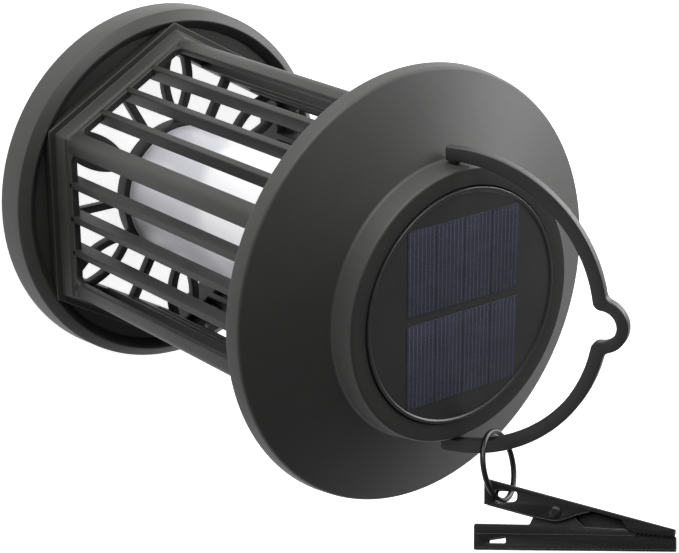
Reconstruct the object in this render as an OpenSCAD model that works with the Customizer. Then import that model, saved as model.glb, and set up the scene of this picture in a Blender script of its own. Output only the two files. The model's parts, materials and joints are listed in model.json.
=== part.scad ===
// Solar insect lamp: a round base dish, a six-sided open cage round a white tube, and a
// conical lid with a round solar panel, a swinging bail, a wire ring and a spring clip.
// Millimetres. +Z up. Origin at the centre of the base underside. Panel 5 faces -Y.

/* [Base] */
// radius of the base dish at its underside
base_r = 60.6; // [50:0.2:75]
// height of the outer edge of the base rim
rim_edge_z = 10; // [7:0.5:14]
// height of the crest of the rim, inside its bevel
rim_crest_z = 12.8; // [10:0.2:16]
// radius of the crest of the rim
crest_r = 56.6; // [50:0.2:70]
// height of the dish floor
floor_z = 6; // [4:0.5:9]

/* [Cage] */
// corner radius of the foot flange of the cage
flange_r = 56.8; // [50:0.2:65]
// corner radius of the cage wall
cage_r = 52.6; // [45:0.2:62]
// thickness of the cage wall
cage_t = 2.5; // [1.5:0.1:4]
// height of the sill under the side openings
sill_z = 20.4; // [18:0.2:30]
// height of the top edge of the side openings
head_z = 124; // [100:1:128]
// width of one corner post along its panel
post_w = 4.6; // [3:0.1:8]
// number of bars in each panel
bar_count = 3; // [1:1:5]
// width of one bar
bar_w = 2.2; // [1.5:0.1:4]
// depth of one bar towards the middle
bar_depth = 6; // [2:0.2:8]

/* [Floor grille] */
// height of the top of the floor grille
grille_z = 15; // [13:0.2:18]
// thickness of the floor grille
grille_t = 3; // [2:0.2:5]
// width of the straight spokes
spoke_w = 2.6; // [1.5:0.1:4]
// outer radius of the hub that holds the tube
hub_r = 24; // [20:0.2:30]
// height of the hub rim
hub_z = 17; // [15.5:0.1:22]

/* [Tube] */
// outer radius of the white tube
tube_r = 22; // [15:0.2:26]
// wall thickness of the white tube
tube_t = 2; // [1:0.1:4]

/* [Lid] */
// radius of the lid at its top edge
lid_r = 65; // [55:0.5:80]
// height of the lower edge of the lid rim
lid_low_z = 132.7; // [120:0.1:140]
// height of the top edge of the lid rim
lid_edge_z = 137.6; // [125:0.1:145]
// radius of the foot of the raised boss
boss_r = 41.5; // [35:0.1:50]
// height of the foot of the boss
boss_foot_z = 149; // [140:0.1:155]
// height of the top of the boss
boss_top_z = 156.3; // [150:0.1:165]
// radius of the round seat for the solar panel
seat_r = 35.3; // [28:0.1:40]

/* [Solar panel] */
// radius of the solar panel tray
panel_r = 35; // [28:0.1:40]
// length of the cell field along X
cells_x = 53.4; // [40:0.2:56]
// width of the cell field along Y
cells_y = 41.6; // [30:0.2:46]
// number of cells side by side in each half
cells_in_row = 4; // [1:1:8]
// gap between the two halves of the cell field
cells_gap = 2.6; // [0.5:0.1:4]

/* [Bail] */
// height of the bail pivots
pivot_z = 152; // [150:0.1:156]
// tilt of the bail from +Y towards +Z
bail_tilt = 63; // [0:1:180]
// inner radius of the bail
bail_in_r = 42.2; // [41.8:0.1:50]
// outer radius of the bail
bail_out_r = 46.2; // [44:0.1:56]
// thickness of the bail across its plane
bail_t = 3; // [2:0.1:5]
// inner radius of the hooking notch in the middle of the bail
notch_r = 4.6; // [3:0.1:7]
// outer radius of the bump round the notch
bump_r = 8; // [6:0.1:12]
// diameter of the pivot pins
pin_d = 3; // [2:0.1:4]

/* [Ring and clip] */
// place of the ring round the bail, in degrees from the pivot axis
ring_at = 19; // [12:0.5:60]
// lean of the ring out of the bail plane
ring_lean = 27.5; // [-30:0.2:40]
// middle radius of the ring
ring_r = 10; // [8:0.1:14]
// diameter of the ring wire
wire_d = 1.5; // [1:0.1:2.5]
// turn of the clip away from square to the ring
clip_turn = 18; // [0:1:25]
// droop of the clip about the ring wire
clip_droop = 6; // [-20:0.2:20]
// length of the clip from the ring wire to the jaw tips
clip_reach = 49.5; // [45:0.5:60]
// width of the clip over its lever
clip_w = 7.4; // [6:0.1:12]
// sheet thickness of the clip
sheet_t = 0.8; // [0.5:0.1:1.2]

/* [Switch] */
// radius of the push button under the hub
button_r = 6.5; // [4:0.1:9]
// travel of the push button
button_travel = 1.2; // [0.5:0.1:2]

/* [Hidden] */
$fn = 96;
bail_mid_r = (bail_in_r + bail_out_r) / 2;
cage_flat = cage_r * cos(30);
win_half = cage_r / 2 - post_w;
bar_pitch = (2 * win_half + bar_w) / (bar_count + 1);
grille_in_r = 47.4;
grille_out_r = 49.3;
foot_in_r = 49.7;
tray_z = 130.4;
ring_drop = 6.4;
hang = ring_drop + ring_r;
jaw_w = clip_w - 2 * sheet_t - 0.6;
rivet_x = 15.8;
rivet_z = -3.4;
clip_bottom = -14.2;
rivet_d = 2;
base_screw_r = 52.6;
cage_screw_r = 46.4;
tray_screw_r = 57;
screw_hole_d = 2.6;
screw_free_d = 3;
tray_r = 63.2;
tray_t = 2.2;
core_r = 7.5;
lamp_low_z = 22;
lamp_top_z = 126;
battery_r = 7;
battery_len = 50;
battery_y = -19.8;
battery_z = 143.2;
board_z = 137.4;
button_h = 5;
spring_h = 3 * button_travel;
button_z = grille_z - grille_t - spring_h - button_h;

// ---------- shared shapes ----------

module hexagon(r) {
  circle(r = r, $fn = 6);
}

module hex_ring(r_out, r_in, z0, z1) {
  translate([0, 0, z0])
    linear_extrude(z1 - z0)
      difference() {
        hexagon(r_out);
        hexagon(r_in);
      }
}

module petal(half_len, half_w) {
  // pointed oval along +X, drawn from two arcs
  arc_r = (half_len * half_len + half_w * half_w) / (2 * half_w);
  intersection() {
    translate([0, arc_r - half_w]) circle(r = arc_r);
    translate([0, half_w - arc_r]) circle(r = arc_r);
  }
}

module at_corners(first = 0) {
  for (i = [0:5]) rotate(first + 60 * i) children();
}

module tapping_screw(shank_d, shank_len, head_d, head_t) {
  // head at the bottom, point up, origin under the head seat
  difference() {
    translate([0, 0, -head_t]) cylinder(h = head_t, d = head_d, $fn = 48);
    translate([0, 0, -head_t - 1]) cylinder(h = 1 + head_t * 0.6, d = head_d * 0.42, $fn = 6);
  }
  cylinder(h = shank_len, d = shank_d, $fn = 32);
}

module at_bail() {
  translate([0, 0, pivot_z]) rotate([bail_tilt, 0, 0]) children();
}

module at_ring() {
  at_bail()
    rotate([0, 0, ring_at])
      translate([bail_mid_r, 0, 0])
        rotate([0, -ring_lean, 0])
          children();
}

module at_clip() {
  // clip frame: x to the jaw tips, y across the clip, z away from the lower jaw
  at_ring()
    translate([hang, 0, 0])
      rotate([-clip_turn, 0, -clip_droop])
        rotate([270, 0, 90])
          children();
}

module side_extrude(width) {
  rotate([90, 0, 0]) linear_extrude(width, center = true) children();
}

module torus(r, wire) {
  rotate_extrude() translate([r, 0]) circle(d = wire, $fn = 32);
}

// ---------- base ----------

module base_dish() {
  color([0.17, 0.17, 0.17])
    difference() {
      rotate_extrude()
        polygon([
          [40, floor_z - 2.2], [56.4, floor_z - 2.2], [56.8, 0], [base_r - 0.5, 0],
          [base_r, 0.5], [base_r - 0.5, rim_edge_z - 0.5], [base_r - 0.9, rim_edge_z],
          [crest_r, rim_crest_z], [crest_r - 0.4, rim_crest_z - 0.2],
          [crest_r - 0.9, floor_z], [40, floor_z]
        ]);
      translate([0, 0, -1]) linear_extrude(20) hexagon(grille_in_r);
      at_corners() translate([base_screw_r, 0, -1]) cylinder(h = 12, d = screw_free_d, $fn = 48);
    }
}

module floor_grille() {
  color([0.15, 0.15, 0.15]) {
    hex_ring(grille_out_r, grille_in_r, floor_z + 0.1, grille_z);
    translate([0, 0, grille_z - grille_t])
      linear_extrude(grille_t)
        difference() {
          intersection() {
            union() {
              at_corners(30)
                translate([hub_r - 1, -spoke_w / 2]) square([43 - hub_r, spoke_w]);
              at_corners()
                translate([38.2, 0])
                  difference() {
                    petal(15.2, 5.8);
                    petal(11.6, 3.3);
                  }
            }
            hexagon(grille_in_r + 0.4);
          }
          circle(r = hub_r - 0.8);
        }
    difference() {
      translate([0, 0, grille_z - grille_t]) cylinder(h = hub_z - grille_z + grille_t, r = hub_r);
      translate([0, 0, 13.6]) cylinder(h = 10, r = tube_r + 0.3);
    }
  }
}

// ---------- cage ----------

module cage_foot() {
  color([0.17, 0.17, 0.17])
    difference() {
      union() {
        intersection() {
          hex_ring(flange_r, foot_in_r, floor_z + 0.1, 13.2);
          cylinder(h = 20, r = crest_r - 1.4);
        }
        hex_ring(flange_r, foot_in_r, 13.1, 14);
        hex_ring(54.4, foot_in_r, 14, 15.2);
        hex_ring(53.4, foot_in_r, 15.2, sill_z - 2);
        hex_ring(cage_r, foot_in_r, sill_z - 2, sill_z);
      }
      at_corners() translate([base_screw_r, 0, 0]) cylinder(h = 14.4, d = screw_hole_d, $fn = 48);
    }
}

module cage_posts() {
  edge_x = cage_r - post_w * cos(60);
  edge_y = post_w * sin(60);
  back_x = edge_x - cage_t * cos(30);
  back_y = edge_y - cage_t * sin(30);
  color([0.19, 0.19, 0.19])
    at_corners()
      translate([0, 0, sill_z])
        linear_extrude(head_z - sill_z)
          intersection() {
            polygon([
              [back_x, -back_y], [edge_x, -edge_y], [cage_r, 0], [edge_x, edge_y],
              [back_x, back_y]
            ]);
            circle(r = cage_r - 0.7);
          }
}

module cage_bars() {
  first = -bar_pitch * (bar_count - 1) / 2;
  color([0.16, 0.16, 0.16])
    at_corners(30)
      for (i = [0:bar_count - 1])
        translate([cage_flat - bar_depth, first + i * bar_pitch - bar_w / 2, sill_z])
          cube([bar_depth, bar_w, head_z - sill_z]);
}

module cage_head() {
  color([0.17, 0.17, 0.17])
    difference() {
      union() {
        hex_ring(cage_r, foot_in_r, head_z, tray_z - 0.1);
        at_corners()
          translate([cage_screw_r, 0, head_z]) cylinder(h = tray_z - 0.1 - head_z, d = 6.4);
      }
      at_corners()
        translate([cage_screw_r, 0, head_z - 1]) cylinder(h = 12, d = screw_hole_d, $fn = 48);
    }
}

// ---------- tube and lamp ----------

module diffuser_tube() {
  color([0.93, 0.93, 0.95])
    translate([0, 0, 13.8])
      difference() {
        cylinder(h = 115.9, r = tube_r);
        translate([0, 0, -1]) cylinder(h = 118, r = tube_r - tube_t);
      }
}

module tube_seal() {
  color([0.55, 0.55, 0.55])
    translate([0, 0, 129.8])
      difference() {
        cylinder(h = 0.5, r = tube_r);
        translate([0, 0, -1]) cylinder(h = 3, r = tube_r - tube_t);
      }
}

module lamp_core() {
  color([0.8, 0.8, 0.8])
    difference() {
      union() {
        translate([0, 0, lamp_low_z]) cylinder(h = 112, r = core_r, $fn = 6);
        translate([0, 0, tray_z + tray_t + 0.1]) cylinder(h = 1.6, r = 10);
      }
      translate([0, 0, lamp_low_z - 1]) cylinder(h = 116, r = 4.5);
    }
}

module led_strips() {
  strip_x = core_r * cos(30) + 0.05;
  color([0.9, 0.9, 0.88])
    for (i = [0:2])
      rotate(30 + 120 * i)
        translate([strip_x, -2.8, lamp_low_z + 3])
          cube([1, 5.6, lamp_top_z - lamp_low_z - 6]);
}

module uv_leds() {
  led_x = core_r * cos(30) + 1.05;
  color([0.75, 0.7, 0.95])
    for (i = [0:2])
      for (k = [0:6])
        rotate(30 + 120 * i)
          translate([led_x, -1.4, lamp_low_z + 8 + 13.5 * k])
            cube([1.2, 2.8, 3.5]);
}

// ---------- lid ----------

module lid_tray() {
  color([0.18, 0.18, 0.18])
    difference() {
      union() {
        translate([0, 0, tray_z]) cylinder(h = tray_t, r = tray_r);
        translate([0, 0, tray_z - 6]) cylinder(h = 6.1, r = tube_r + 2.4);
        for (x = [-18, 18])
          for (y = [6, 22])
            translate([x, y, tray_z + 2]) cylinder(h = board_z - tray_z - 2, d = 4);
      }
      translate([0, 0, tray_z - 7]) cylinder(h = 7, r = tube_r + 0.3);
      translate([0, 0, tray_z - 1]) cylinder(h = 5, r = 8);
      at_corners()
        translate([cage_screw_r, 0, tray_z - 1]) cylinder(h = 5, d = screw_free_d, $fn = 48);
      at_corners(30)
        translate([tray_screw_r, 0, tray_z - 1]) cylinder(h = 5, d = screw_free_d, $fn = 48);
    }
}

module lid_roof() {
  color([0.16, 0.16, 0.16])
    difference() {
      union() {
        rotate_extrude($fn = 160)
          polygon([
            [63.7, lid_low_z], [lid_r + 0.9, lid_low_z], [lid_r + 0.9, lid_low_z + 0.6],
            [lid_r + 0.2, lid_edge_z - 0.5], [lid_r - 0.3, lid_edge_z + 0.2],
            [boss_r + 0.6, boss_foot_z - 0.3], [boss_r, boss_foot_z + 0.4],
            [boss_r - 0.6, boss_top_z - 0.8], [boss_r - 1.2, boss_top_z],
            [seat_r, boss_top_z], [seat_r, boss_top_z - 1.6], [31.5, boss_top_z - 1.6],
            [31.5, boss_top_z - 3.4], [boss_r - 3, boss_top_z - 3.4],
            [boss_r - 2.6, boss_foot_z - 1.2], [62.4, lid_edge_z - 1], [63.6, lid_edge_z - 2]
          ]);
        at_corners(30) translate([tray_screw_r, 0, lid_low_z]) cylinder(h = 6.8, d = 6);
        for (s = [-1, 1])
          translate([s * 37, 0, pivot_z]) rotate([0, 90, 0]) cylinder(h = 6, d = 5, center = true);
      }
      at_corners(30)
        translate([tray_screw_r, 0, lid_low_z - 1]) cylinder(h = 6.6, d = screw_hole_d, $fn = 48);
      for (s = [-1, 1])
        translate([s * 40, 0, pivot_z]) rotate([0, 90, 0]) cylinder(h = 9, d = pin_d, center = true);
    }
}

module bail_pins() {
  color([0.6, 0.6, 0.62])
    for (s = [-1, 1])
      translate([s * 40.4, 0, pivot_z])
        rotate([0, 90, 0])
          cylinder(h = 9.2, d = pin_d, center = true);
}

module panel_seal() {
  color([0.1, 0.1, 0.1])
    translate([0, 0, boss_top_z - 1.58])
      difference() {
        cylinder(h = 0.5, r = panel_r - 0.2);
        translate([0, 0, -1]) cylinder(h = 3, r = 32);
      }
}

module solar_tray() {
  color([0.12, 0.12, 0.13])
    translate([0, 0, boss_top_z - 1.06])
      difference() {
        cylinder(h = 1.7, r = panel_r);
        translate([0, 0, 0.8]) cylinder(h = 3, r = panel_r - 1.1);
      }
}

module solar_laminate() {
  color([0.1, 0.1, 0.13])
    translate([0, 0, boss_top_z - 0.24])
      cylinder(h = 0.5, r = panel_r - 1.25);
}

module solar_cells() {
  cell_x = (cells_x - cells_gap) / 2;
  cell_y = cells_y / cells_in_row;
  color([0.16, 0.15, 0.3])
    for (i = [0, 1])
      for (j = [0:cells_in_row - 1])
        translate([i * (cell_x + cells_gap) - cells_x / 2, j * cell_y - cells_y / 2, boss_top_z + 0.27])
          cube([cell_x, cell_y - 0.3, 0.15]);
}

module circuit_board() {
  color([0.1, 0.35, 0.2])
    translate([-22, 2.5, board_z + 0.02]) cube([44, 23, 1.6]);
}

module board_parts() {
  top = board_z + 1.65;
  color([0.12, 0.12, 0.12]) {
    translate([-6, 8, top]) cube([8, 6, 1.6]);
    translate([8, 6, top]) cube([7, 7, 4]);
    translate([-16, 10, top]) cube([5, 4, 1.4]);
    translate([-14, 19, top]) cylinder(h = 6, d = 6);
    translate([3, 19, top]) cylinder(h = 6, d = 6);
    translate([12, 17, top]) cube([6, 5, 5]);
  }
}

module battery() {
  color([0.15, 0.35, 0.6])
    translate([-battery_len / 2, battery_y, battery_z])
      rotate([0, 90, 0])
        cylinder(h = battery_len, r = battery_r);
}

module battery_holder() {
  color([0.1, 0.1, 0.1])
    difference() {
      translate([-28.5, battery_y - 8.6, tray_z + 2.25]) cube([57, 17.2, 11]);
      translate([-27.2, battery_y, battery_z])
        rotate([0, 90, 0]) cylinder(h = 54.4, r = battery_r + 0.3);
      translate([-27.2, battery_y - battery_r - 0.3, battery_z]) cube([54.4, 14.6, 9]);
    }
}

module battery_contacts() {
  color([0.75, 0.75, 0.75])
    for (s = [-1, 1])
      translate([s * 26.9, battery_y, battery_z - 1.4]) {
        cube([0.5, 9, 9], center = true);
        translate([-s * 0.95, 0, 1.4]) rotate([0, 90, 0]) cylinder(h = 1.6, r = 2.6, center = true);
      }
}

// ---------- switch ----------

module switch_housing() {
  color([0.15, 0.15, 0.15])
    translate([0, 0, 5.4])
      difference() {
        cylinder(h = 6.55, r = 10.5);
        translate([0, 0, -1]) cylinder(h = 8, r = button_r + 0.35);
        translate([0, 0, 1.5]) cylinder(h = 8, r = 9.1);
      }
}

module power_button() {
  flange_t = 1.1;
  color([0.75, 0.1, 0.1])
    translate([0, 0, button_z]) {
      cylinder(h = button_h, r = button_r);
      translate([0, 0, button_h - flange_t]) cylinder(h = flange_t, r = 8.6);
    }
}

module button_spring() {
  wire = 0.6;
  coil_r = 5.4;
  pitch = (spring_h - wire - 0.1) / 2;
  color([0.7, 0.7, 0.7])
    translate([0, 0, button_z + button_h + wire / 2 + 0.03]) {
      for (k = [0:2]) translate([0, 0, pitch * k]) torus(coil_r, wire);
      for (k = [0, 1])
        translate([coil_r * (1 - 2 * k), 0, pitch * k]) cylinder(h = pitch, d = wire - 0.1, $fn = 24);
    }
}

// ---------- bail ----------

module bail_shape() {
  leg = 2.4;
  mouth_x = 7.4;
  throat_x = notch_r - 0.6;
  difference() {
    union() {
      intersection() {
        circle(r = bail_out_r, $fn = 160);
        translate([-60, 0]) square([120, 60]);
      }
      for (s = [-1, 1])
        translate([s * bail_mid_r - (bail_out_r - bail_in_r) / 2, -leg])
          square([bail_out_r - bail_in_r, leg + 0.1]);
      translate([0, bail_mid_r]) circle(r = bump_r);
    }
    intersection() {
      circle(r = bail_in_r, $fn = 160);
      translate([-60, -0.01]) square([120, 60]);
    }
    translate([0, bail_mid_r]) circle(r = notch_r);
    polygon([
      [-mouth_x, bail_in_r - 2], [mouth_x, bail_in_r - 2], [throat_x, bail_mid_r],
      [-throat_x, bail_mid_r]
    ]);
  }
}

module bail_handle() {
  color([0.14, 0.14, 0.14])
    at_bail()
      difference() {
        linear_extrude(bail_t, center = true) bail_shape();
        for (s = [-1, 1])
          translate([s * (bail_in_r + 1.2), 0, 0])
            rotate([0, 90, 0])
              cylinder(h = 5, d = pin_d + 0.12, center = true);
      }
}

// ---------- ring and clip ----------

module clip_ring() {
  color([0.12, 0.12, 0.12])
    at_ring() translate([ring_drop, 0, 0]) rotate([90, 0, 0]) torus(ring_r, wire_d);
}

function lever_top(x) = 5.1 - 0.265 * x;

module lever_side() {
  tip = clip_reach;
  end = -4.6;
  difference() {
    polygon([
      [end, lever_top(end)], [tip, lever_top(tip)], [tip, lever_top(tip) - 1.2],
      [37, lever_top(37) - 3.2], [34.5, lever_top(34.5) - 1.4], [25, lever_top(25) - 1.4],
      [23, -3.6], [20.8, -4.8], [17.8, -5.6], [14.5, -5.7], [11.5, -5.4], [8.6, -4.7], [end, -1.2]
    ]);
    polygon([[-2.4, -1.1], [4.4, -0.3], [4.4, 3.1], [-2.4, 3.4]]);
    translate([rivet_x, rivet_z]) circle(d = rivet_d + 0.1);
  }
}

module clip_lever() {
  color([0.13, 0.13, 0.13])
    at_clip()
      difference() {
        side_extrude(clip_w) lever_side();
        side_extrude(clip_w - 2 * sheet_t)
          polygon([
            [-20, lever_top(-20) - sheet_t], [70, lever_top(70) - sheet_t], [70, -40], [-20, -40]
          ]);
      }
}

module jaw_side() {
  tip = clip_reach;
  end = -7.7;
  tip_z = lever_top(tip) - 1.6;
  difference() {
    union() {
      polygon([
        [end, clip_bottom], [tip, clip_bottom], [tip, tip_z], [37, -8.2], [24, -7.4],
        [22.2, -5.8], [18.8, -3.2], [12.8, -3.2], [9.5, -4.4], [8.3, -6.9], [end, -6.7]
      ]);
      translate([rivet_x, rivet_z]) circle(r = 3);
    }
    polygon([[-3.9, -12.4], [1.7, -12.4], [1.7, -10.4], [-3.9, -11.2]]);
    translate([rivet_x, rivet_z]) circle(d = rivet_d);
  }
}

module clip_jaw() {
  color([0.13, 0.13, 0.13])
    at_clip()
      difference() {
        side_extrude(jaw_w) jaw_side();
        side_extrude(jaw_w - 2 * sheet_t)
          translate([-20, clip_bottom + sheet_t]) square([90, 30]);
      }
}

module clip_rivet() {
  color([0.5, 0.5, 0.5])
    at_clip()
      translate([rivet_x, 0, rivet_z])
        rotate([90, 0, 0]) {
          cylinder(h = clip_w + 0.6, d = rivet_d, center = true);
          for (s = [-1, 1])
            translate([0, 0, s * (clip_w / 2 + 0.55)]) cylinder(h = 0.5, d = 3.4, center = true);
        }
}

module clip_spring() {
  wire = 0.6;
  coil_r = 1.75;
  pitch = 0.8;
  color([0.6, 0.6, 0.6])
    at_clip()
      translate([rivet_x, 0, rivet_z]) {
        for (k = [-1:1]) translate([0, pitch * k, 0]) rotate([90, 0, 0]) torus(coil_r, wire);
        translate([-coil_r, -pitch, 0]) rotate([0, -48, 0]) cylinder(h = 7.2, d = wire, $fn = 24);
        translate([-coil_r, pitch, 0]) rotate([0, -140, 0]) cylinder(h = 12, d = wire, $fn = 24);
        translate([coil_r, 0, 0])
          rotate([90, 0, 0]) cylinder(h = 2 * pitch, d = wire - 0.1, center = true, $fn = 24);
      }
}

// ---------- screws ----------

module tray_screws() {
  color([0.7, 0.7, 0.7])
    at_corners(30) translate([tray_screw_r, 0, tray_z]) tapping_screw(screw_hole_d, 7.4, 5.2, 1.6);
}

module base_screws() {
  color([0.7, 0.7, 0.7])
    at_corners()
      translate([base_screw_r, 0, floor_z - 2.2]) tapping_screw(screw_hole_d, 10, 5.2, 1.6);
}

module cage_screws() {
  color([0.7, 0.7, 0.7])
    at_corners()
      translate([cage_screw_r, 0, tray_z + tray_t])
        mirror([0, 0, 1]) tapping_screw(screw_hole_d, 7.6, 5.2, 1.6);
}

base_dish();
floor_grille();
cage_foot();
cage_posts();
cage_bars();
cage_head();
diffuser_tube();
tube_seal();
lid_tray();
lid_roof();
solar_tray();
panel_seal();
solar_laminate();
solar_cells();
circuit_board();
board_parts();
battery();
battery_holder();
battery_contacts();
lamp_core();
led_strips();
uv_leds();
switch_housing();
power_button();
button_spring();
bail_pins();
bail_handle();
clip_ring();
clip_lever();
clip_jaw();
clip_rivet();
clip_spring();
tray_screws();
base_screws();
cage_screws();
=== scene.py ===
"""Looks of a solar insect lamp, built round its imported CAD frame.

Shapes are drawn in millimetres in the part's own frame, and a finished piece is scaled to metres.
"""

import json
import math

import bmesh
import bpy
from mathutils import Matrix, Vector


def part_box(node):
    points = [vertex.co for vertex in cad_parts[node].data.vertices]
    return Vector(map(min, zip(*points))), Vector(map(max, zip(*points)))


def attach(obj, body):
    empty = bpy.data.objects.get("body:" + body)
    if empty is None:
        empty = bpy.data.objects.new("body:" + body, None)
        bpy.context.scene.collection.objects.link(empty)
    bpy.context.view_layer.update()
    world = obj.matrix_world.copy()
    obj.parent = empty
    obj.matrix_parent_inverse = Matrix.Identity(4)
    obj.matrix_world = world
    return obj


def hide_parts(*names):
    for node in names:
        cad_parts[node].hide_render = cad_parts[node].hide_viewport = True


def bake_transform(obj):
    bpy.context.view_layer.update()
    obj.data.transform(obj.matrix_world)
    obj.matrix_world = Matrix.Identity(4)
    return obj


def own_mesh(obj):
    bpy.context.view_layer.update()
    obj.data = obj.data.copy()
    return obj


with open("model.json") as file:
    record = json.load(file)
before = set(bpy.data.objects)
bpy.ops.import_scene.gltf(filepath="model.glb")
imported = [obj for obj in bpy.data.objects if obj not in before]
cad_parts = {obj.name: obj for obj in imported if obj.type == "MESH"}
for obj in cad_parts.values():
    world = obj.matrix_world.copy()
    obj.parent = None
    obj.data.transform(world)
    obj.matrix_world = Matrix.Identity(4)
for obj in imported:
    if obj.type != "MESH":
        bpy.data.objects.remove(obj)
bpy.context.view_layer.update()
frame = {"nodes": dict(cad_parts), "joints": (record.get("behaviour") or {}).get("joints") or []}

MM = 0.001
JOINTS = {joint["name"]: joint for joint in frame["joints"]}
SIDES = 6
QUARTER = math.radians(90)

# Vertices closer than this are joined, and shorter edges dissolved, in millimetres.
MERGE_WITHIN = 0.0004
DEGENERATE_BELOW = 0.0002

# Edges that turn further than this are shaded sharp.
SHARP_EDGE = math.radians(32)

# The share of an edge that one rounded corner may use.
MOST_OF_EDGE = 0.48

# Bevel resolution of the curves that plates and wires are made from.
PLATE_EDGE_STEPS = 2
WIRE_ROUND_STEPS = 5


def span(node):
    """Lowest and highest corner of a CAD node, in millimetres."""
    low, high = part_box(node)
    return low / MM, high / MM


def joint_point(name):
    """A point on a joint's axis, in millimetres."""
    return Vector(JOINTS[name]["pos_m"]) / MM


def joint_axis(name):
    """The direction that a joint turns about."""
    return Vector(JOINTS[name]["axis"])


# ---------- outlines ----------

def arc(centre, radius, start, end, steps):
    """Points along an arc, angles in degrees."""
    found = []
    for k in range(steps + 1):
        angle = math.radians(start + (end - start) * k / steps)
        found.append((centre[0] + radius * math.cos(angle), centre[1] + radius * math.sin(angle)))
    return found


def rounded(corners, steps=5):
    """A closed outline whose corners (x, y, radius) are rounded; a corner (x, y) stays sharp."""
    found = []
    for i, corner in enumerate(corners):
        here = Vector(corner[:2])
        if len(corner) < 3:
            found.append(tuple(here))
            continue
        back = Vector(corners[i - 1][:2]) - here
        ahead = Vector(corners[(i + 1) % len(corners)][:2]) - here
        half = back.angle(ahead) / 2
        longest = MOST_OF_EDGE * min(back.length, ahead.length)
        cut = min(corner[2] / math.tan(half), longest)
        radius = cut * math.tan(half)
        inward = (back.normalized() + ahead.normalized()).normalized()
        centre = here + inward * radius / math.sin(half)
        first = here + back.normalized() * cut - centre
        last = here + ahead.normalized() * cut - centre
        begin = math.atan2(first.y, first.x)
        turn = (math.atan2(last.y, last.x) - begin + math.pi) % (2 * math.pi) - math.pi
        for k in range(steps + 1):
            angle = begin + turn * k / steps
            found.append((centre.x + radius * math.cos(angle), centre.y + radius * math.sin(angle)))
    return found


def circle(radius=1.0, steps=96, centre=(0, 0)):
    """Points round a whole circle."""
    return arc(centre, radius, 0, 360 - 360 / steps, steps - 1)


def hexagon(radius=1.0, corner=0.0):
    """A regular hexagon with one corner on +X."""
    points = arc((0, 0), radius, 0, 300, SIDES - 1)
    return rounded([(x, y, corner) for x, y in points]) if corner else points


def rectangle(width, height, corner, centre=(0, 0)):
    """A rectangle with rounded corners."""
    x, y = centre
    signs = ((-1, -1), (1, -1), (1, 1), (-1, 1))
    return rounded([(x + s * width / 2, y + t * height / 2, corner) for s, t in signs])


# ---------- meshes ----------

def spin(bm, profile, outline, place=Matrix.Identity(4)):
    """Carries a closed profile of (radius, height) round an outline of unit radius."""
    rings = []
    for u, v in outline:
        rings.append([bm.verts.new(place @ Vector((r * u, r * v, z))) for r, z in profile])
    for i, ring in enumerate(rings):
        nearby = rings[(i + 1) % len(rings)]
        for j in range(len(profile)):
            k = (j + 1) % len(profile)
            bm.faces.new((ring[j], ring[k], nearby[k], nearby[j]))


def add_line(curve, points, closed):
    """Adds a line through points in space to a curve."""
    spline = curve.splines.new("POLY")
    spline.points.add(len(points) - 1)
    for point, where in zip(spline.points, points):
        point.co = (*where, 1)
    spline.use_cyclic_u = closed


def take_mesh(bm, curve, place):
    """Adds the mesh that a curve makes to a bmesh."""
    holder = bpy.data.objects.new("outline", curve)
    bpy.context.scene.collection.objects.link(holder)
    bpy.context.view_layer.update()
    made = holder.evaluated_get(bpy.context.evaluated_depsgraph_get())
    mesh = bpy.data.meshes.new_from_object(made)
    mesh.transform(place)
    bm.from_mesh(mesh)
    bpy.data.objects.remove(holder)
    bpy.data.meshes.remove(mesh)


def plate(bm, outlines, low, high, soft, place=Matrix.Identity(4)):
    """A flat sheet from low to high with rounded edges; outlines after the first are holes."""
    curve = bpy.data.curves.new("outline", "CURVE")
    curve.dimensions = "2D"
    curve.fill_mode = "BOTH"
    curve.extrude = (high - low) / 2 - soft
    curve.bevel_depth = soft
    curve.bevel_resolution = PLATE_EDGE_STEPS
    curve.offset = -soft
    for points in outlines:
        add_line(curve, [(x, y, 0) for x, y in points], True)
    take_mesh(bm, curve, place @ Matrix.Translation((0, 0, (low + high) / 2)))


def wire(bm, points, radius, place=Matrix.Identity(4), closed=False):
    """A round wire along points."""
    curve = bpy.data.curves.new("wire", "CURVE")
    curve.dimensions = "3D"
    curve.bevel_depth = radius
    curve.bevel_resolution = WIRE_ROUND_STEPS
    curve.use_fill_caps = True
    add_line(curve, points, closed)
    take_mesh(bm, curve, place)


def piece(name, bm, material, body, nodes):
    """Turns a bmesh in millimetres into a finished piece; one without a body is left unattached."""
    bmesh.ops.remove_doubles(bm, verts=bm.verts, dist=MERGE_WITHIN)
    bmesh.ops.dissolve_degenerate(bm, edges=bm.edges, dist=DEGENERATE_BELOW)
    bmesh.ops.recalc_face_normals(bm, faces=bm.faces)
    bmesh.ops.scale(bm, vec=(MM, MM, MM), verts=bm.verts)
    for face in bm.faces:
        face.smooth = True
    for edge in bm.edges:
        if len(edge.link_faces) == 2:
            edge.smooth = edge.calc_face_angle(0) < SHARP_EDGE
    mesh = bpy.data.meshes.new(name)
    bm.to_mesh(mesh)
    bm.free()
    mesh.materials.append(material)
    made = bpy.data.objects.new(name, mesh)
    bpy.context.scene.collection.objects.link(made)
    if body:
        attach(made, body)
    if nodes:
        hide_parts(*nodes)
    return made


def turned(angle):
    """A turn about the lamp's own axis, in degrees."""
    return Matrix.Rotation(math.radians(angle), 4, "Z")


# ---------- materials ----------

# The range that most of a noise texture's values fall in.
NOISE_LOW = 0.3
NOISE_HIGH = 0.7

# Fine grain of every finish, in features per metre.
GRAIN = 2600


def new_material(name):
    """A node material with its node tree and its shader."""
    material = bpy.data.materials.new(name)
    material.use_nodes = True
    tree = material.node_tree
    return material, tree, tree.nodes["Principled BSDF"]


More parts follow.
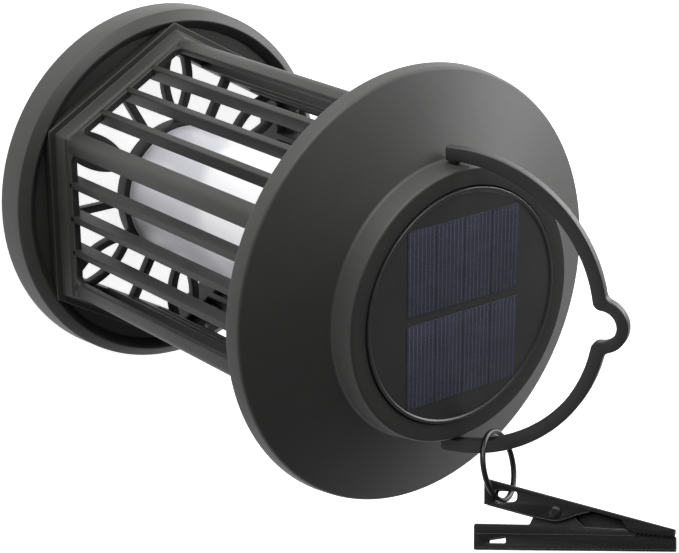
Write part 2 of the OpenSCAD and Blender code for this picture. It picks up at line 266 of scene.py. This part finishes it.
def noise(tree, scale, detail):
    """Noise in the object's own space; scale is in features per metre."""
    where = tree.nodes.new("ShaderNodeTexCoord")
    found = tree.nodes.new("ShaderNodeTexNoise")
    found.inputs["Scale"].default_value = scale
    found.inputs["Detail"].default_value = detail
    tree.links.new(where.outputs["Object"], found.inputs["Vector"])
    return found.outputs["Fac"]


def patches(tree, scale, stretch, tilt, softness):
    """Soft-edged patches, each of its own tone, in the object's own space."""
    where = tree.nodes.new("ShaderNodeTexCoord")
    mapping = tree.nodes.new("ShaderNodeMapping")
    mapping.inputs["Scale"].default_value = stretch
    mapping.inputs["Rotation"].default_value = tilt
    found = tree.nodes.new("ShaderNodeTexVoronoi")
    found.feature = "SMOOTH_F1"
    found.distance = "CHEBYCHEV"
    found.inputs["Scale"].default_value = scale
    found.inputs["Smoothness"].default_value = softness
    tone = tree.nodes.new("ShaderNodeSeparateColor")
    tree.links.new(where.outputs["Object"], mapping.inputs["Vector"])
    tree.links.new(mapping.outputs["Vector"], found.inputs["Vector"])
    tree.links.new(found.outputs["Color"], tone.inputs["Color"])
    return tone.outputs["Red"]


def ramp(tree, value, stops):
    """Colours spread over a value; stops are (position, colour)."""
    found = tree.nodes.new("ShaderNodeValToRGB")
    while len(found.color_ramp.elements) < len(stops):
        found.color_ramp.elements.new(0.5)
    for element, (position, colour) in zip(found.color_ramp.elements, stops):
        element.position = position
        element.color = (*colour, 1)
    tree.links.new(value, found.inputs["Fac"])
    return found.outputs["Color"]


def spread(tree, value, low, high):
    """A noise value spread over low to high."""
    found = tree.nodes.new("ShaderNodeMapRange")
    found.inputs["From Min"].default_value = NOISE_LOW
    found.inputs["From Max"].default_value = NOISE_HIGH
    found.inputs["To Min"].default_value = low
    found.inputs["To Max"].default_value = high
    tree.links.new(value, found.inputs["Value"])
    return found.outputs["Result"]


def bump(tree, shader, value, height, strength=1.0):
    """Relief of that height in metres."""
    found = tree.nodes.new("ShaderNodeBump")
    found.inputs["Strength"].default_value = strength
    found.inputs["Distance"].default_value = height
    tree.links.new(value, found.inputs["Height"])
    tree.links.new(found.outputs["Normal"], shader.inputs["Normal"])


def surface(name, dark, light, rough, relief=0.00003, patch=45, metal=0.0, gloss=0.5):
    """A finish with broad tone changes, uneven roughness and fine grain."""
    material, tree, shader = new_material(name)
    broad = noise(tree, patch, 4)
    fine = noise(tree, GRAIN, 2)
    tone = ramp(tree, broad, [(NOISE_LOW, dark), (NOISE_HIGH, light)])
    tree.links.new(tone, shader.inputs["Base Color"])
    tree.links.new(spread(tree, fine, *rough), shader.inputs["Roughness"])
    bump(tree, shader, fine, relief)
    shader.inputs["Metallic"].default_value = metal
    shader.inputs["Specular IOR Level"].default_value = gloss
    return material


def tube_material():
    """Frosted white plastic with long soft patches, through which light scatters."""
    material, tree, shader = new_material("frosted_tube")
    streaks = patches(tree, 42, stretch=(1, 1, 0.45), tilt=(0.1, 0.2, 0.0), softness=0.35)
    clouds = noise(tree, 30, 2)
    grey = (0.52, 0.52, 0.56)
    pale = (0.66, 0.66, 0.69)
    white = (0.86, 0.86, 0.87)
    tone = ramp(tree, streaks, [(0.2, grey), (0.5, pale), (0.8, white)])
    tree.links.new(tone, shader.inputs["Base Color"])
    tree.links.new(spread(tree, clouds, 0.28, 0.42), shader.inputs["Roughness"])
    shader.inputs["Subsurface Weight"].default_value = 0.5
    shader.inputs["Subsurface Radius"].default_value = (1, 1, 1)
    shader.inputs["Subsurface Scale"].default_value = 0.004
    bump(tree, shader, streaks, 0.00005, 0.5)
    return material


SHELL = surface(
    "charcoal_plastic", (0.0175, 0.0168, 0.0160), (0.0225, 0.0217, 0.0207),
    (0.44, 0.54), gloss=0.38,
)
CAGE_SHELL = surface(
    "cage_plastic", (0.016, 0.0155, 0.0148), (0.021, 0.0205, 0.0195),
    (0.44, 0.54), gloss=0.28,
)
RIM_SHELL = surface(
    "lid_plastic", (0.0150, 0.0143, 0.0136), (0.0195, 0.0187, 0.0178),
    (0.50, 0.58), relief=0.00002, gloss=0.42,
)
GRILLE_SHELL = surface(
    "grille_plastic", (0.016, 0.016, 0.0155), (0.021, 0.021, 0.0205),
    (0.42, 0.52), gloss=0.4,
)
BAIL_SHELL = surface(
    "bail_plastic", (0.013, 0.013, 0.013), (0.018, 0.018, 0.018),
    (0.40, 0.50), gloss=0.3,
)
TRAY = surface("tray_plastic", (0.016, 0.016, 0.016), (0.021, 0.021, 0.021), (0.34, 0.44))
LAMINATE = surface(
    "panel_board", (0.019, 0.019, 0.0195), (0.024, 0.024, 0.024),
    (0.30, 0.38), relief=0.00001, patch=80,
)
BLACK_STEEL = surface(
    "black_steel", (0.0030, 0.0030, 0.0028), (0.0055, 0.0055, 0.0052),
    (0.26, 0.36), gloss=0.28,
)
BRIGHT_STEEL = surface(
    "bright_steel", (0.42, 0.42, 0.41), (0.58, 0.58, 0.57),
    (0.22, 0.36), metal=1.0,
)
SCREW_STEEL = surface(
    "screw_steel", (0.20, 0.20, 0.195), (0.30, 0.30, 0.295),
    (0.34, 0.48), metal=1.0,
)
RUBBER = surface("seal_rubber", (0.02, 0.02, 0.02), (0.04, 0.04, 0.04), (0.7, 0.85))
BOARD = surface("board_green", (0.01, 0.08, 0.03), (0.02, 0.13, 0.05), (0.35, 0.5), patch=300)
CHIP = surface("chip_black", (0.012, 0.012, 0.012), (0.022, 0.022, 0.022), (0.4, 0.5))
WRAP = surface("battery_wrap", (0.02, 0.07, 0.2), (0.03, 0.1, 0.27), (0.2, 0.32))
CORE = surface("lamp_core", (0.5, 0.5, 0.5), (0.62, 0.62, 0.61), (0.3, 0.45), metal=1.0)
STRIP = surface("led_strip", (0.72, 0.72, 0.7), (0.82, 0.82, 0.8), (0.4, 0.5))
LED = surface("uv_led", (0.5, 0.42, 0.75), (0.65, 0.58, 0.85), (0.15, 0.25))
RED = surface("button_red", (0.32, 0.012, 0.012), (0.42, 0.02, 0.018), (0.32, 0.42))
CELL = surface(
    "silicon_cell", (0.021, 0.022, 0.036), (0.032, 0.033, 0.052),
    (0.24, 0.32), relief=0.000005, patch=160,
)
FINGER = surface(
    "cell_finger", (0.060, 0.064, 0.098), (0.090, 0.095, 0.140),
    (0.3, 0.4), relief=0.000005,
)
TUBE = tube_material()


# ---------- base ----------

ROUND = circle(steps=192)
base_high = span("base_dish")[1]
base_r = base_high.x
rim_z = base_high.z
foot_low, foot_high = span("cage_foot")
sill_z = foot_high.z
floor_z = foot_low.z - 0.1
floor_t = 2.2
underside_z = floor_z - floor_t
# The recess round the cage's foot is shallower than in the CAD dish, as it is in the photo.
shelf_z = floor_z + 4.2
shelf_in_r = 49.5
crest_r = base_r - 4.0
edge_z = rim_z - 2.8
screw_r = 52.6
screw_hole_r = 1.5
# The flat floor plates run a little way into the spun rim.
floor_join_r = 53.9
floor_edge_r = floor_join_r + 0.8
opening_r = 47.4

dish = bmesh.new()
spin(dish, rounded([
    (crest_r - 0.2, underside_z, 0.4), (crest_r + 0.2, 0, 0.4), (base_r, 0, 0.9),
    (base_r - 0.6, edge_z, 0.8), (crest_r, rim_z, 0.6), (crest_r - 2.8, shelf_z + 0.35, 3.0),
    (floor_join_r, shelf_z, 1.0), (floor_join_r, underside_z),
]), ROUND)
floor_holes = [circle(screw_hole_r, 32, spot) for spot in hexagon(screw_r)]
floor_edge = circle(floor_edge_r, 192)
floor_soft = 0.15
plate(dish, [floor_edge, hexagon(opening_r), *floor_holes], underside_z, floor_z, floor_soft)
plate(dish, [floor_edge, hexagon(shelf_in_r), *floor_holes], floor_z, shelf_z, floor_soft)
piece("base_dish_shell", dish, SHELL, "lamp", ["base_dish"])

hub_top = span("floor_grille")[1].z
hub_r = 24.0
web_top = hub_top - 2.0
web_low = web_top - 3.0
web_soft = 0.4
tube_low, tube_high = span("diffuser_tube")
tube_r = tube_high.x
ring_in_r = opening_r - 1.1
ring_out_r = 49.3
ring_low = floor_z + 0.1
socket_r = tube_r + 0.1
socket_z = tube_low.z - 0.2
petal_mid = 38.2
spoke_mid = 33.2
spoke_length = 20.5
spoke_w = 2.6

grille = bmesh.new()
spin(grille, rounded([
    (ring_in_r, ring_low), (ring_out_r, ring_low), (ring_out_r, web_top, 0.3),
    (ring_in_r, web_top, 0.5),
]), hexagon(corner=0.03))
spin(grille, rounded([
    (0, web_low), (hub_r, web_low, 0.4), (hub_r, hub_top, 0.5), (socket_r, hub_top, 0.2),
    (socket_r, socket_z), (0, socket_z),
]), ROUND)


def petal(half_length, half_width):
    """A pointed oval along X, of two arcs."""
    radius = (half_length ** 2 + half_width ** 2) / (2 * half_width)
    reach = math.degrees(math.asin(half_length / radius))
    lower = arc((petal_mid, radius - half_width), radius, 270 - reach, 270 + reach, 24)
    upper = arc((petal_mid, half_width - radius), radius, 90 - reach, 90 + reach, 24)
    return lower[:-1] + upper[:-1]


petal_loop = [petal(15.2, 5.8), petal(11.6, 3.3)]
spoke = rectangle(spoke_length, spoke_w, 0.1, (spoke_mid, 0))
for k in range(SIDES):
    plate(grille, [spoke], web_low, web_top, web_soft, turned(30 + 60 * k))
    plate(grille, petal_loop, web_low, web_top, web_soft, turned(60 * k))
piece("floor_web", grille, GRILLE_SHELL, "lamp", ["floor_grille"])


# ---------- cage and tube ----------

cage_r = 52.6
wall_in_r = 49.7
flange_r = 56.8
flange_z = 14.0
flange_in_r = wall_in_r + 1
flange_low = shelf_z + 0.05
flange_top = rim_z + 0.4
flange_gap = 1.4
step_r = 54.4
foot_z = shelf_z + 0.1
head_z = 124.0
head_top = span("cage_head")[1].z
head_eye_r = 46.4
post_w = 4.6
wall_t = 2.5
bar_w = 2.2
bar_depth = 6.0
bars = 3
cos_30 = math.cos(math.radians(30))
cage_flat = cage_r * cos_30
window_half = cage_r / 2 - post_w
window_lap = 2.0
window_soft = 0.5
window_in = cage_flat - wall_t + 0.05
window_out = cage_flat - 0.05
bar_pitch = (2 * window_half + bar_w) / (bars + 1)


def clipped_hexagon(most, steps=180):
    """A hexagon of unit radius whose corners are cut back to a circle."""
    found = []
    for k in range(steps):
        angle = 2 * math.pi * k / steps
        side = cos_30 / math.cos(angle % math.radians(60) - math.radians(30))
        reach = min(side, most)
        found.append((reach * math.cos(angle), reach * math.sin(angle)))
    return found


cage = bmesh.new()
spin(cage, [
    (flange_in_r, flange_low), (flange_r, flange_low), (flange_r, flange_top),
    (flange_in_r, flange_top),
], clipped_hexagon((crest_r - flange_gap) / flange_r))
cage_outline = hexagon(corner=0.025)
spin(cage, rounded([
    (wall_in_r, foot_z), (step_r, foot_z), (step_r, rim_z + 0.3), (flange_r, rim_z + 0.3, 0.2),
    (flange_r, flange_z, 0.4), (step_r, flange_z + 0.1, 0.4), (53.3, sill_z - 2.3, 0.3),
    (cage_r, sill_z - 1.7, 0.3), (cage_r, sill_z, 0.5), (wall_in_r, sill_z, 0.5),
]), cage_outline)
spin(cage, rounded([
    (wall_in_r, head_z, 0.5), (cage_r, head_z, 0.6), (cage_r, head_top), (wall_in_r, head_top),
]), cage_outline)

edge_x = cage_r - post_w * math.cos(math.radians(60))
edge_y = post_w * math.sin(math.radians(60))
back_x = edge_x - wall_t * cos_30
back_y = edge_y - wall_t * math.sin(math.radians(30))
post = rounded([
    (back_x, -back_y, 0.3), (edge_x, -edge_y, 0.6), (cage_r, 0, 3.4), (edge_x, edge_y, 0.6),
    (back_x, back_y, 0.3),
])
eye = [circle(3.2, 32, (head_eye_r, 0)), circle(1.3, 24, (head_eye_r, 0))]
middle = (sill_z + head_z) / 2
window_w = 2 * window_half
window_h = head_z - sill_z
window = [
    rectangle(window_w + 2 * window_lap, window_h + 2 * window_lap, 0.5, (0, middle)),
    rectangle(window_w + 0.1, window_h + 0.1, 2.6, (0, middle)),
]
upright = Matrix.Rotation(QUARTER, 4, "Z") @ Matrix.Rotation(QUARTER, 4, "X")
for k in range(SIDES):
    corner = turned(60 * k)
    facing = turned(30 + 60 * k)
    plate(cage, [post], sill_z - 1, head_z + 1, 0.05, corner)
    plate(cage, eye, head_z, head_top, 0.2, corner)
    plate(cage, window, window_in, window_out, window_soft, facing @ upright)
    for i in range(bars):
        bar_y = (i - (bars - 1) / 2) * bar_pitch
        bar = rectangle(bar_depth, bar_w, 0.45, (cage_flat - bar_depth / 2, bar_y))
        plate(cage, [bar], web_top - 0.2, head_z + 1.2, 0.05, facing)
cage_nodes = ["cage_foot", "cage_posts", "cage_bars", "cage_head"]
piece("cage_shell", cage, CAGE_SHELL, "lamp", cage_nodes)

tube = bmesh.new()
tube_in_r = tube_r - 2.0
bead_r = 0.4
bead_z = hub_top + bead_r + 0.05
spin(tube, rounded([
    (tube_in_r, tube_low.z, 0.3), (tube_r, tube_low.z, 0.6), (tube_r, tube_high.z, 0.4),
    (tube_in_r, tube_high.z),
]), ROUND)
spin(tube, circle(bead_r, 12, (tube_r + 0.02, bead_z)), ROUND)
piece("frosted_tube", tube, TUBE, "lamp", ["diffuser_tube"])


# ---------- lid ----------

lid_low, lid_high = span("lid_roof")
lid_r = lid_high.y
lid_bottom = lid_low.z
lid_top = lid_high.z
lid_edge = lid_bottom + 5.0
boss_r = 41.5
boss_foot = lid_top - 7.3
seat_r = 35.3
seat_z = lid_top - 1.6
seat_in_r = 31.5
seat_under = seat_z - 1.8

lid = bmesh.new()
spin(lid, rounded([
    (lid_r - 2.2, lid_bottom, 0.3), (lid_r, lid_bottom, 0.7), (lid_r - 0.75, lid_edge + 0.2, 1.5),
    (boss_r + 0.2, boss_foot, 1.3), (boss_r - 0.75, lid_top, 0.9), (seat_r, lid_top, 0.35),
    (seat_r, seat_z), (seat_in_r, seat_z), (seat_in_r, seat_under), (boss_r - 3, seat_under, 0.8),
    (boss_r - 2.6, boss_foot - 1.2, 0.8), (lid_r - 3.5, lid_edge - 1, 0.8),
    (lid_r - 2.3, lid_edge - 2, 0.5),
], 8), circle(steps=256))
piece("lid_shell", lid, RIM_SHELL, "lamp", ["lid_roof"])

tray_low, tray_high = span("solar_tray")
tray_r = tray_high.x
board_low, board_high = span("solar_laminate")
board_r = board_high.x
board_gap = 0.02
recess_r = board_r + board_gap
recess_z = board_low.z - board_gap
tray = bmesh.new()
spin(tray, rounded([
    (0, tray_low.z), (tray_r, tray_low.z, 0.2), (tray_r, tray_high.z, 0.25),
    (tray_r - 0.8, tray_high.z, 0.1), (recess_r, board_high.z + board_gap),
    (recess_r, recess_z), (0, recess_z),
]), ROUND)
piece("panel_tray", tray, TRAY, "lamp", ["solar_tray"])

board = bmesh.new()
spin(board, rounded([
    (0, board_low.z), (board_r, board_low.z), (board_r, board_high.z, 0.2), (0, board_high.z),
]), ROUND)
piece("panel_board", board, LAMINATE, "lamp", ["solar_laminate"])

cells_low, cells_high = span("solar_cells")
halves = 2
columns = 4
half_gap = 2.6
pitch_gap = 0.3
cell_gap = 0.14
cell_x = (cells_high.x - cells_low.x - half_gap) / halves
cell_y = (cells_high.y + pitch_gap - cells_low.y) / columns
lines_per_cell = 7
line_pitch = cell_y / (lines_per_cell + 0.25)
line_w = 0.22
cells = bmesh.new()
fingers = bmesh.new()
for i in range(halves):
    x = cells_low.x + cell_x / 2 + i * (cell_x + half_gap)
    for j in range(columns):
        y = cells_low.y + (j + 0.5) * cell_y - pitch_gap / 2
        outline = rectangle(cell_x, cell_y - cell_gap, 0.2, (x, y))
        plate(cells, [outline], cells_low.z, cells_high.z, 0.03)
        for k in range(lines_per_cell):
            line_y = y + (k - (lines_per_cell - 1) / 2) * line_pitch
            line = rectangle(cell_x - 0.6, line_w, 0.05, (x, line_y))
            plate(fingers, [line], cells_high.z - 0.02, cells_high.z + 0.03, 0.01)
piece("silicon_cells", cells, CELL, "lamp", ["solar_cells"])
piece("cell_fingers", fingers, FINGER, "lamp", [])


# ---------- bail ----------

pivot = joint_point("bail_swing")
bar_point = joint_point("ring_swing")
tilt = math.atan2(bar_point.z - pivot.z, bar_point.y - pivot.y)
bail_place = Matrix.Translation(pivot) @ Matrix.Rotation(tilt, 4, "X")
bail_in = 42.2
bail_out = 46.2
bail_mid = (bail_in + bail_out) / 2
bail_t = 3.0
notch_r = 4.6
bump_r = 8.0
fillet_r = 2.6
leg = 2.4


def fillet_centre(bar_radius, round_radius):
    """Centre of a fillet that touches the bail's arc and the circle of the bump from outside."""
    reach = bar_radius + fillet_r
    y = (reach ** 2 - (round_radius + fillet_r) ** 2 + bail_mid ** 2) / (2 * bail_mid)
    return Vector((math.sqrt(reach ** 2 - y ** 2), y))


def bail_side(bar_radius, round_radius):
    """One side of the bail's outline from +X over the bump to -X, with filleted corners."""
    centre = fillet_centre(bar_radius, round_radius)
    to_arc = math.degrees(math.atan2(centre.y, centre.x))
    to_bump = math.degrees(math.atan2(centre.y - bail_mid, centre.x))
    right = arc((0, 0), bar_radius, 0, to_arc, 48)
    fillet = arc(centre, fillet_r, 180 + to_arc, 180 + to_bump, 8)
    half = right + fillet[1:] + arc((0, bail_mid), round_radius, to_bump, 90, 14)[1:]
    return half + [(-x, y) for x, y in reversed(half[:-1])]


outer = bail_side(bail_out, bump_r)
inner = bail_side(bail_in, notch_r)
square_end = rounded([(-bail_out, 0), (-bail_out, -leg, 0.5), (-bail_in, -leg, 0.5), (-bail_in, 0)])
round_end = rounded([(bail_in, 0), (bail_in, -leg, 1.9), (bail_out, -leg, 1.9), (bail_out, 0)])
bail_outline = outer + square_end[1:-1] + inner[::-1] + round_end[1:-1]
bail = bmesh.new()
plate(bail, [bail_outline], -bail_t / 2, bail_t / 2, 0.35, bail_place)
piece("bail_bar", bail, BAIL_SHELL, "bail", ["bail_handle"])


# ---------- ring ----------

hang = joint_point("clip_swing")
ring_r = 10.0
wire_r = 0.84
down = (hang - bar_point).normalized()
ring_axis = joint_axis("ring_swing")
ring_centre = hang - down * ring_r
across = ring_axis.cross(down)
loop = [ring_centre + ring_r * (u * down + v * across) for u, v in circle(steps=120)]
ring = bmesh.new()
wire(ring, loop, wire_r, closed=True)
piece("hanging_ring", ring, BLACK_STEEL, "ring", ["clip_ring"])


# ---------- clip ----------

rivet = joint_point("clip_open")
clip_y = joint_axis("clip_open")
rivet_x = 15.8
rivet_z = -3.4
lean = math.atan2(-rivet_z, rivet_x)
clip_x = Matrix.Rotation(-lean, 3, clip_y) @ (rivet - hang).normalized()
clip_z = clip_x.cross(clip_y)
clip_place = Matrix.Translation(hang) @ Matrix((clip_x, clip_y, clip_z)).transposed().to_4x4()
side_view = clip_place @ Matrix.Rotation(QUARTER, 4, "X")
rivet_place = clip_place @ Matrix.Translation((rivet_x, 0, rivet_z))
clip_w = 7.4
sheet = 0.8
jaw_w = clip_w - 2 * sheet - 0.6
tip = 49.5
lever_end = -4.6
jaw_end = -7.7
jaw_low = -14.2


def lever_top(x):
    """Height of the lever's sloping back."""
    return 5.1 - 0.265 * x


def flanks(bm, outlines, width):
    """The two side walls of a folded sheet, a little inside its full width."""
    inner_face = width / 2 - sheet
    outer_face = width / 2 - 0.02
    plate(bm, outlines, inner_face, outer_face, 0.22, side_view)
    plate(bm, outlines, -outer_face, -inner_face, 0.22, side_view)


def teeth(start, end, low, high, count):
    """A row of small teeth between two points on an edge."""
    found = []
    for k in range(2 * count + 1):
        share = k / (2 * count)
        x = start[0] + (end[0] - start[0]) * share
        z = start[1] + (end[1] - start[1]) * share
        found.append((x, z + (low if k % 2 else high)))
    return found


tooth_count = 9
teeth_back = tip - 0.6
lever_teeth_end = (38, lever_top(38) - 4.2)
lever_teeth = teeth((teeth_back, lever_top(tip) - 2.1), lever_teeth_end, -0.35, 0.25, tooth_count)
cheek_edge = rounded([
    (lever_end, -1.0), (10.2, -4.9, 3), (16.4, -6.1, 7), (21.8, -4.2, 5),
    (25.5, lever_top(25.5) - 1.6),
])
lever_outline = rounded([
    (lever_end, lever_top(lever_end) - 0.1, 0.5), (tip, lever_top(tip) - 0.1, 0.3),
    *lever_teeth, (36.2, lever_top(36.2) - 3.4, 0.8), (34.5, lever_top(34.5) - 1.4, 1.5),
    (25.5, lever_top(25.5) - 1.4, 1.5), (21.8, -4.4, 5), (16.4, -6.3, 7), (10.2, -5.1, 3),
    (lever_end, -1.2, 0.7),
])
hole = rounded([(-1.4, -1.0, 0.6), (4.9, -0.4, 1.2), (4.9, 2.7, 1.2), (-1.4, 2.9, 0.6)])
lever = bmesh.new()
flanks(lever, [lever_outline, hole, circle(1.05, 32, (rivet_x, rivet_z))], clip_w)
for side in (-1, 1):
    bead = [(x, z, side * (clip_w / 2 - 0.1)) for x, z in cheek_edge]
    wire(lever, bead, 0.2, side_view)
lever_cover = rounded([
    (lever_end, lever_top(lever_end), 0.3), (tip, lever_top(tip), 0.3),
    (tip, lever_top(tip) - sheet, 0.3), (lever_end, lever_top(lever_end) - sheet, 0.3),
])
plate(lever, [lever_cover], -clip_w / 2, clip_w / 2, 0.3, side_view)
piece("clip_lever_sheet", lever, BLACK_STEEL, "lever", ["clip_lever"])

jaw_tip = lever_top(tip) - 1.9
jaw_teeth = teeth((37.5, -8.4), (teeth_back, jaw_tip), -0.3, 0.2, tooth_count)
jaw_outline = rounded([
    (jaw_end, jaw_low + 0.05, 0.5), (tip, jaw_low + 0.05, 0.8), (tip, jaw_tip, 0.4),
    *reversed(jaw_teeth), (36.5, -8.1, 0.5), (24, -7.4, 1.2), (22.2, -5.8, 1.2),
    (18.6, -1.4, 2.6), (13.0, -1.4, 2.6), (9.5, -4.4, 1.0), (8.3, -6.9, 0.6), (jaw_end, -6.7, 0.7),
])
slot = rounded([(-3.9, -12.4, 0.5), (1.7, -12.4, 0.5), (1.7, -10.4, 0.6), (-3.9, -11.2, 0.5)])
jaw = bmesh.new()
flanks(jaw, [jaw_outline, slot, circle(1.0, 32, (rivet_x, rivet_z))], jaw_w)
for side in (-1, 1):
    flank_y = side * (jaw_w / 2 - 0.06)
    wire(jaw, [(jaw_end + 0.6, -9.6, flank_y), (tip - 0.4, -9.9, flank_y)], 0.16, side_view)
    wire(jaw, [(x, z, flank_y) for x, z in slot], 0.16, side_view, closed=True)
guide_drop = sheet + 0.5
guide = rounded([
    (19, -9, 0.5), (42, -9, 0.5), (42, lever_top(42) - guide_drop, 1),
    (19, lever_top(19) - guide_drop, 1),
])
plate(jaw, [guide], -0.4, 0.4, 0.2, side_view)
brace = rectangle(20, 1.2, 0.3, (32, -8.4))
plate(jaw, [brace], 0.1 - jaw_w / 2, jaw_w / 2 - 0.1, 0.2, side_view)
jaw_floor = rounded([
    (jaw_end, jaw_low, 0.3), (tip, jaw_low, 0.3), (tip, jaw_low + sheet, 0.3),
    (jaw_end, jaw_low + sheet, 0.3),
])
plate(jaw, [jaw_floor], -jaw_w / 2, jaw_w / 2, 0.3, side_view)
piece("clip_jaw_sheet", jaw, BLACK_STEEL, "jaw", ["clip_jaw"])

pin_r = 1.0
pin_head_r = 1.7
head_in = clip_w / 2 + 0.3
head_mid = head_in + 0.1
head_out = clip_w / 2 + 0.8
pin_profile = rounded([
    (0, -head_out), (pin_r, -head_out, 0.3), (pin_head_r, -head_mid, 0.3),
    (pin_head_r, -head_in, 0.1), (pin_r, -head_in), (pin_r, head_in), (pin_head_r, head_in, 0.1),
    (pin_head_r, head_mid, 0.3), (pin_r, head_out, 0.3), (0, head_out),
])
pin = bmesh.new()
spin(pin, pin_profile, circle(steps=48), rivet_place @ Matrix.Rotation(QUARTER, 4, "X"))
piece("clip_pin", pin, BLACK_STEEL, "jaw", ["clip_rivet"])

coil_r = 1.75
coil_length = 1.6
coil_steps = 3 * 24
coil = []
for k in range(coil_steps + 1):
    angle = math.radians(180 + 15 * k)
    along = coil_length / 2 - coil_length * k / coil_steps
    coil.append((coil_r * math.cos(angle), along, coil_r * math.sin(angle)))


def leg_end(start, degrees, length):
    """The end of a straight leg of the coil, turned that far from upwards."""
    turn = math.radians(degrees)
    return (start[0] + length * math.sin(turn), start[1], start[2] + length * math.cos(turn))


lower_leg = leg_end(coil[0], -140, 12)
upper_leg = leg_end(coil[-1], -48, 7.2)
spring = bmesh.new()
wire(spring, [lower_leg, *coil, upper_leg], 0.3, rivet_place)
coil_piece = piece("clip_coil", spring, BRIGHT_STEEL, None, ["clip_spring"])
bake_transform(coil_piece)


# ---------- switch ----------

button_low, button_high = span("power_button")
button_r = 6.5
collar_r = button_high.x
collar_z = button_high.z - 1.1
button = bmesh.new()
spin(button, rounded([
    (0, button_low.z + 0.3), (5.4, button_low.z, 2.5), (button_r, button_low.z, 0.6),
    (button_r, collar_z), (collar_r, collar_z, 0.2), (collar_r, button_high.z, 0.2),
    (0, button_high.z),
]), circle())
piece("push_button", button, RED, "button", ["power_button"])

return_low, return_high = span("button_spring")
return_wire = 0.3
return_r = return_high.x - return_wire
return_length = return_high.z - return_low.z
turn_steps = 32
helix_steps = 3 * turn_steps
helix = []
for k in range(helix_steps + 1):
    angle = 2 * math.pi * k / turn_steps
    height = return_low.z + return_wire + (return_length - 2 * return_wire) * k / helix_steps
    helix.append((return_r * math.cos(angle), return_r * math.sin(angle), height))
helix_mesh = bmesh.new()
wire(helix_mesh, helix, return_wire)
return_piece = piece(
    "return_spring", helix_mesh, BRIGHT_STEEL, "lamp", ["button_spring"],
)
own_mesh(return_piece)


# ---------- carried-over nodes ----------

CARRIED = {
    "tube_seal": RUBBER,
    "panel_seal": RUBBER,
    "lid_tray": SHELL,
    "circuit_board": BOARD,
    "board_parts": CHIP,
    "battery": WRAP,
    "battery_holder": CHIP,
    "battery_contacts": BRIGHT_STEEL,
    "lamp_core": CORE,
    "led_strips": STRIP,
    "uv_leds": LED,
    "switch_housing": GRILLE_SHELL,
    "bail_pins": BLACK_STEEL,
    "tray_screws": SCREW_STEEL,
    "base_screws": SCREW_STEEL,
    "cage_screws": SCREW_STEEL,
}
for node, material in CARRIED.items():
    mesh = frame["nodes"][node].data
    mesh.materials.clear()
    mesh.materials.append(material)


# ---------- floor, light and camera ----------

def floor_material():
    """A nearly white floor that glows a little, so that it stays as pale as the photo's ground."""
    material, tree, shader = new_material("studio_floor")
    dull = (0.90, 0.90, 0.90)
    bright = (0.93, 0.93, 0.93)
    tone = ramp(tree, noise(tree, 3, 2), [(NOISE_LOW, dull), (NOISE_HIGH, bright)])
    tree.links.new(tone, shader.inputs["Base Color"])
    shader.inputs["Roughness"].default_value = 0.9
    shader.inputs["Emission Color"].default_value = (1, 1, 1, 1)
    shader.inputs["Emission Strength"].default_value = 0.85
    return material


floor_half = 3.0
floor_drop = 0.0002
floor = bmesh.new()
bmesh.ops.create_grid(floor, x_segments=8, y_segments=8, size=floor_half)
floor_mesh = bpy.data.meshes.new("studio_floor")
floor.to_mesh(floor_mesh)
floor.free()
floor_mesh.materials.append(floor_material())
floor_object = bpy.data.objects.new("studio_floor", floor_mesh)
floor_object.location.z = -floor_drop
bpy.context.scene.collection.objects.link(floor_object)

horizon_light = 1.0
ceiling_light = 0.22
world = bpy.data.worlds.new("studio")
world.use_nodes = True
world_tree = world.node_tree
direction = world_tree.nodes.new("ShaderNodeTexCoord")
parts = world_tree.nodes.new("ShaderNodeSeparateXYZ")
walls = world_tree.nodes.new("ShaderNodeMapRange")
walls.inputs["From Min"].default_value = 0.15
walls.inputs["From Max"].default_value = 0.32
walls.inputs["To Min"].default_value = horizon_light
walls.inputs["To Max"].default_value = ceiling_light
world_tree.links.new(direction.outputs["Generated"], parts.inputs["Vector"])
world_tree.links.new(parts.outputs["Z"], walls.inputs["Value"])
backdrop = world_tree.nodes["Background"]
backdrop.inputs["Color"].default_value = (1, 1, 1, 1)
world_tree.links.new(walls.outputs["Result"], backdrop.inputs["Strength"])
bpy.context.scene.world = world
bpy.context.scene.view_settings.view_transform = "Standard"

AIM = Vector((0.0119, 0.0082, 0.0897))


def soft_light(name, direction, distance, size, power):
    """A square area light that faces the object."""
    data = bpy.data.lights.new(name, "AREA")
    data.shape = "SQUARE"
    data.size = size
    data.energy = power
    made = bpy.data.objects.new(name, data)
    away = Vector(direction).normalized()
    made.location = AIM + away * distance
    made.rotation_mode = "QUATERNION"
    made.rotation_quaternion = (-away).to_track_quat("-Z", "Y")
    bpy.context.scene.collection.objects.link(made)


soft_light("key", (-0.45, 0.85, 0.28), distance=0.9, size=0.7, power=10.5)
soft_light("side", (-0.92, -0.35, 0.08), distance=1.0, size=0.6, power=10.0)
soft_light("top", (-0.85, -0.05, 0.55), distance=1.0, size=0.6, power=4.2)

view_azimuth = math.radians(-30.55)
view_elevation = math.radians(47.4)
view_roll = math.radians(113.3)
view_distance = 0.62
lens_length = 105.05
camera_data = bpy.data.cameras.new("camera")
camera_data.sensor_width = 36.0
camera_data.lens = lens_length
camera_data.clip_start = 0.01
camera_data.clip_end = 20.0
camera = bpy.data.objects.new("camera", camera_data)
bpy.context.scene.collection.objects.link(camera)
back = Vector((
    math.sin(view_azimuth) * math.cos(view_elevation),
    -math.cos(view_azimuth) * math.cos(view_elevation),
    math.sin(view_elevation),
))
camera.location = AIM + back * view_distance
camera.rotation_mode = "QUATERNION"
level = (-back).to_track_quat("-Z", "Y")
camera.rotation_quaternion = level @ Matrix.Rotation(view_roll, 3, "Z").to_quaternion()
bpy.context.scene.camera = camera
